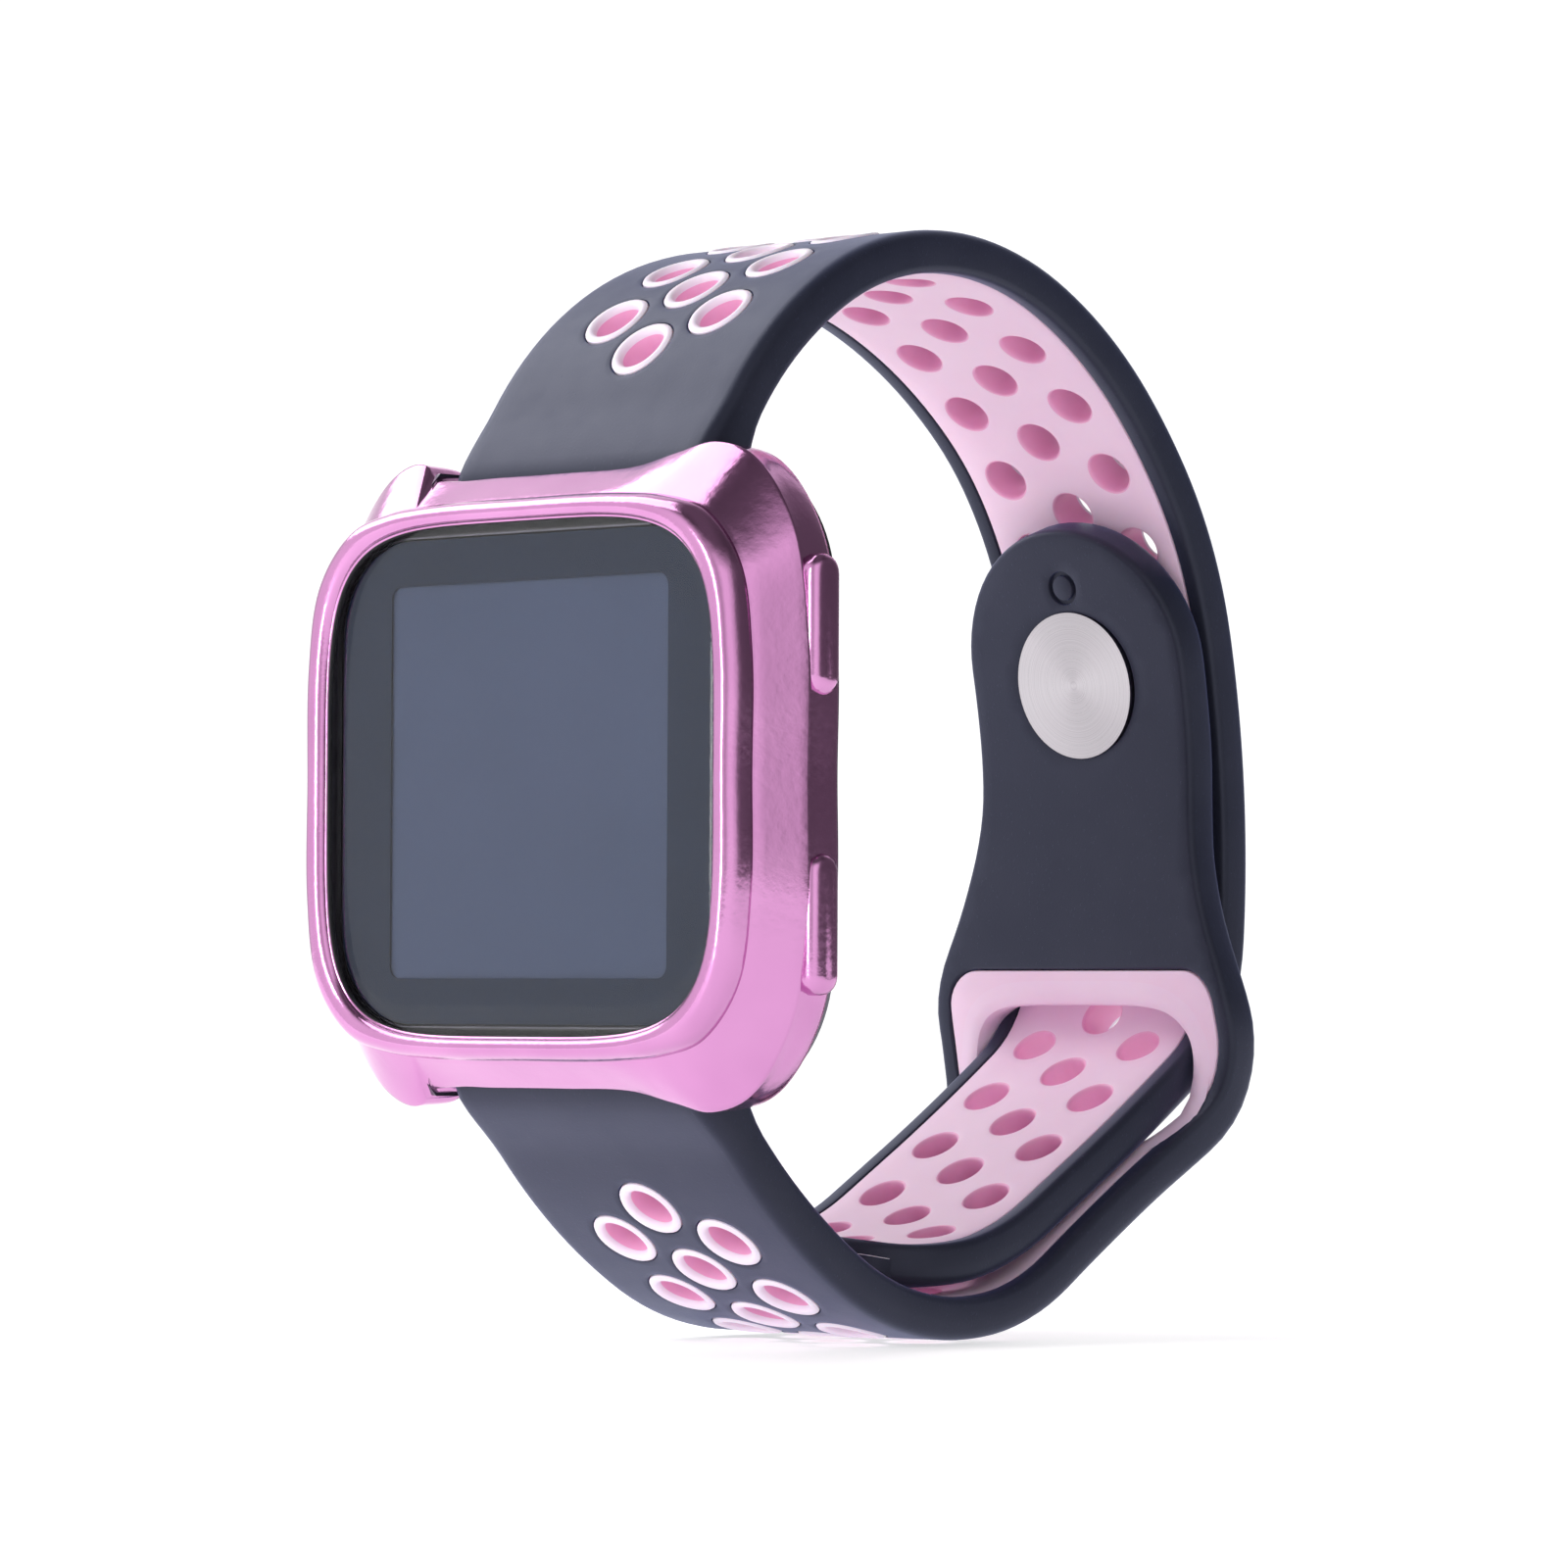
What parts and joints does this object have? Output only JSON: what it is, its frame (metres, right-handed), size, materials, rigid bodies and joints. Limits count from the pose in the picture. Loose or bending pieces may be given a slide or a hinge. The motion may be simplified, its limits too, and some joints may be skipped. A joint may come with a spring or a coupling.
{
  "type": "fitness tracker band",
  "caption": "Square fitness tracker in a glossy bumper case on a perforated two-tone strap, fastened into a loop by a stud and strap keeper.",
  "frame": {"origin": "centre of the sensor window on the tracker's rear face, where it rests on the wrist", "axes": "+Z towards twelve o'clock, -Y out of the screen, +X towards the side with two buttons"},
  "size_m": [0.0422, 0.0589, 0.0695],
  "materials": {
    "pink_plated_tpu": "metallic plated, glossy",
    "anodised_aluminium": "fine satin",
    "cover_glass": "polished",
    "dark_window": "polished",
    "black_seal": "matt",
    "display": "smooth",
    "grey_plastic": "fine texture",
    "battery_foil": "satin foil",
    "bright_steel": "bright",
    "circuit_board": "solder mask",
    "black_chip": "matt",
    "led_lens": "clear",
    "gold_contact": "plated",
    "black_silicone": "matt, fine speckle",
    "pink_silicone": "matt",
    "brushed_steel": "circular brushed"
  },
  "bodies": {
    "tracker": {"antenna_strip": "bright_steel", "back_cover": "grey_plastic", "back_screws": "bright_steel", "back_seal": "black_seal", "battery": "battery_foil", "battery_clip": "bright_steel", "bumper_case": "pink_plated_tpu", "charge_pads": "gold_contact", "cover_glass": "cover_glass", "display_border": "display", "display_panel": "display", "glass_gasket": "black_seal", "left_button_seal": "black_seal", "left_switch": "black_chip", "light_shroud": "grey_plastic", "main_board": "circuit_board", "mid_frame": "grey_plastic", "motor_can": "bright_steel", "motor_shaft": "bright_steel", "photodiode": "black_chip", "processor_chip": "black_chip", "right_lower_button_seal": "black_seal", "right_lower_switch": "black_chip", "right_upper_button_seal": "black_seal", "right_upper_switch": "black_chip", "sensor_board": "circuit_board", "sensor_leds": "led_lens", "sensor_window": "dark_window", "watch_housing": "anodised_aluminium"},
    "band": {"upper_strap_shell": "black_silicone", "upper_strap_liner": "pink_silicone", "lower_strap_shell": "black_silicone", "lower_strap_liner": "pink_silicone", "stud_disc": "brushed_steel", "stud_post": "brushed_steel", "upper_bar_tube": "bright_steel", "upper_bar_fixed_pin": "bright_steel", "upper_bar_spring": "bright_steel", "lower_bar_tube": "bright_steel", "lower_bar_fixed_pin": "bright_steel", "lower_bar_spring": "bright_steel"},
    "upper_lever": {"upper_bar_lever": "bright_steel"},
    "lower_lever": {"lower_bar_lever": "bright_steel"},
    "left_button": {"left_button_cover": "pink_plated_tpu", "left_button_cap": "anodised_aluminium"},
    "right_upper_button": {"right_upper_button_cover": "pink_plated_tpu", "right_upper_button_cap": "anodised_aluminium"},
    "right_lower_button": {"right_lower_button_cover": "pink_plated_tpu", "right_lower_button_cap": "anodised_aluminium"},
    "motor_weight": {"motor_rotor": "bright_steel"}
  },
  "joints": [
    {"name": "band_swing", "type": "hinge", "parent": "tracker", "child": "band", "pos_m": [0, -0.0047, 0.0184], "axis": [1, 0, 0], "range_deg": [0, 35]},
    {"name": "upper_quick_release", "type": "slide", "parent": "band", "child": "upper_lever", "axis": [-1, 0, 0], "range_m": [0, 0.0013], "stiffness_N_per_m": 400, "springref_m": -0.0008, "deforming": ["upper_bar_spring"]},
    {"name": "lower_quick_release", "type": "slide", "parent": "band", "child": "lower_lever", "axis": [-1, 0, 0], "range_m": [0, 0.0013], "stiffness_N_per_m": 400, "springref_m": -0.0008, "deforming": ["lower_bar_spring"]},
    {"name": "left_button_press", "type": "slide", "parent": "tracker", "child": "left_button", "axis": [1, 0, 0], "range_m": [0, 0.0003], "stiffness_N_per_m": 2500},
    {"name": "right_upper_button_press", "type": "slide", "parent": "tracker", "child": "right_upper_button", "axis": [-1, 0, 0], "range_m": [0, 0.0003], "stiffness_N_per_m": 2500},
    {"name": "right_lower_button_press", "type": "slide", "parent": "tracker", "child": "right_lower_button", "axis": [-1, 0, 0], "range_m": [0, 0.0003], "stiffness_N_per_m": 2500},
    {"name": "motor_spin", "type": "hinge", "parent": "tracker", "child": "motor_weight", "pos_m": [0.011, -0.00545, -0.0046], "axis": [0, 1, 0], "continuous": true}
  ]
}
